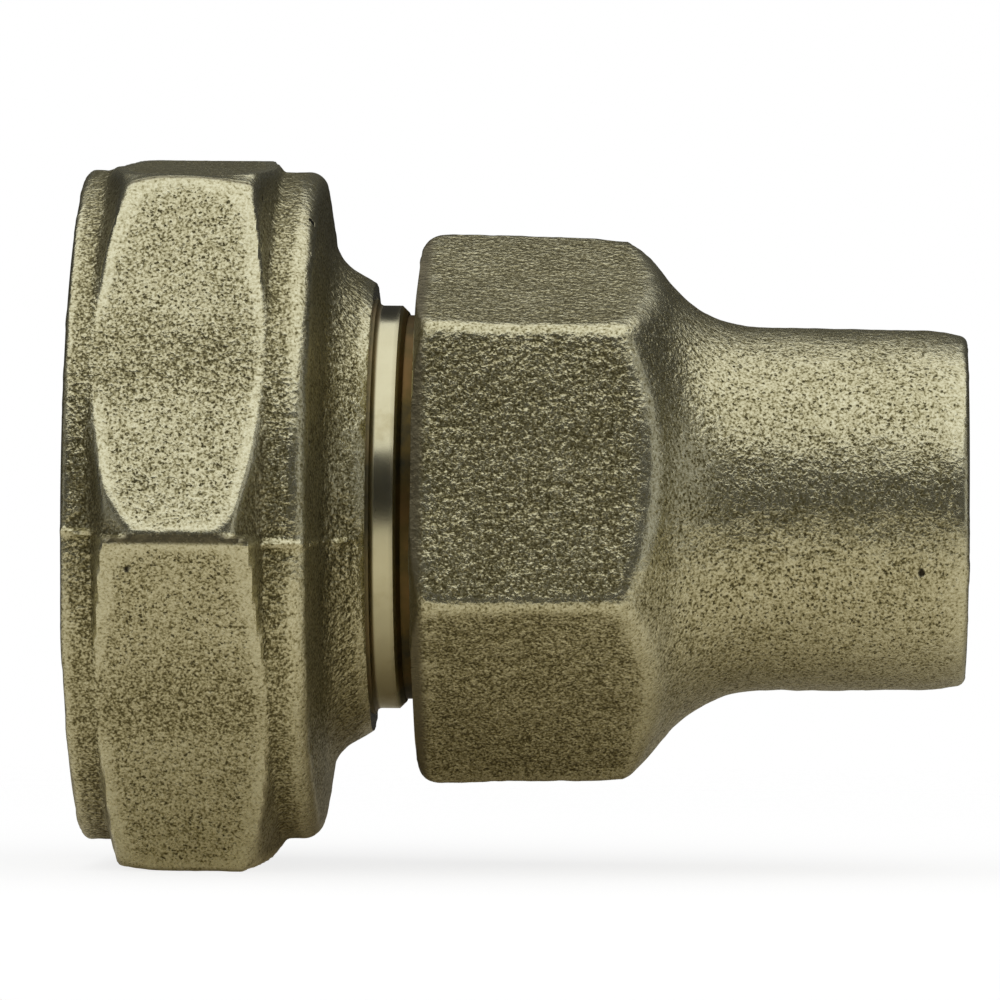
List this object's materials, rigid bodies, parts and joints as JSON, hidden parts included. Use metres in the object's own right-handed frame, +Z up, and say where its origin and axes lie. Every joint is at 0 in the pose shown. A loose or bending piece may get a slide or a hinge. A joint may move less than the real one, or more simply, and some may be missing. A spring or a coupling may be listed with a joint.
{
  "type": "pipe union",
  "caption": "Cast pipe union: a swivelling hexagon union nut on a turned tailpiece with a rubber washer, and a long-tailed flare nut for tube on the other end.",
  "frame": {"origin": "centre of the tailpiece's sealing face, on the common axis of the whole union", "axes": "+X along the axis towards the flare nut's tail, +Z up, and +Y away from the side that is looked at first"},
  "size_m": [0.0928, 0.0814, 0.075],
  "materials": {
    "cast_bronze": "rough, shot-blasted sand casting with dull khaki skin and brighter worn edges",
    "machined_brass": "bright turned surface with fine lathe lines",
    "rubber": "matt black moulded rubber"
  },
  "bodies": {
    "tailpiece": {"tailpiece": "machined_brass"},
    "washer": {"seal_washer": "rubber"},
    "union_nut": {"union_nut": "cast_bronze"},
    "flare_nut": {"flare_nut": "cast_bronze"}
  },
  "joints": [
    {"name": "union_nut_slide", "type": "slide", "parent": "tailpiece", "child": "washer", "axis": [-1, 0, 0], "range_m": [0, 0.0019]},
    {"name": "union_nut_swivel", "type": "hinge", "parent": "washer", "child": "union_nut", "pos_m": [0, 0, 0], "axis": [1, 0, 0], "continuous": true},
    {"name": "flare_nut_off", "type": "slide", "parent": "tailpiece", "child": "flare_nut", "axis": [1, 0, 0], "range_m": [0, 0.03]}
  ]
}
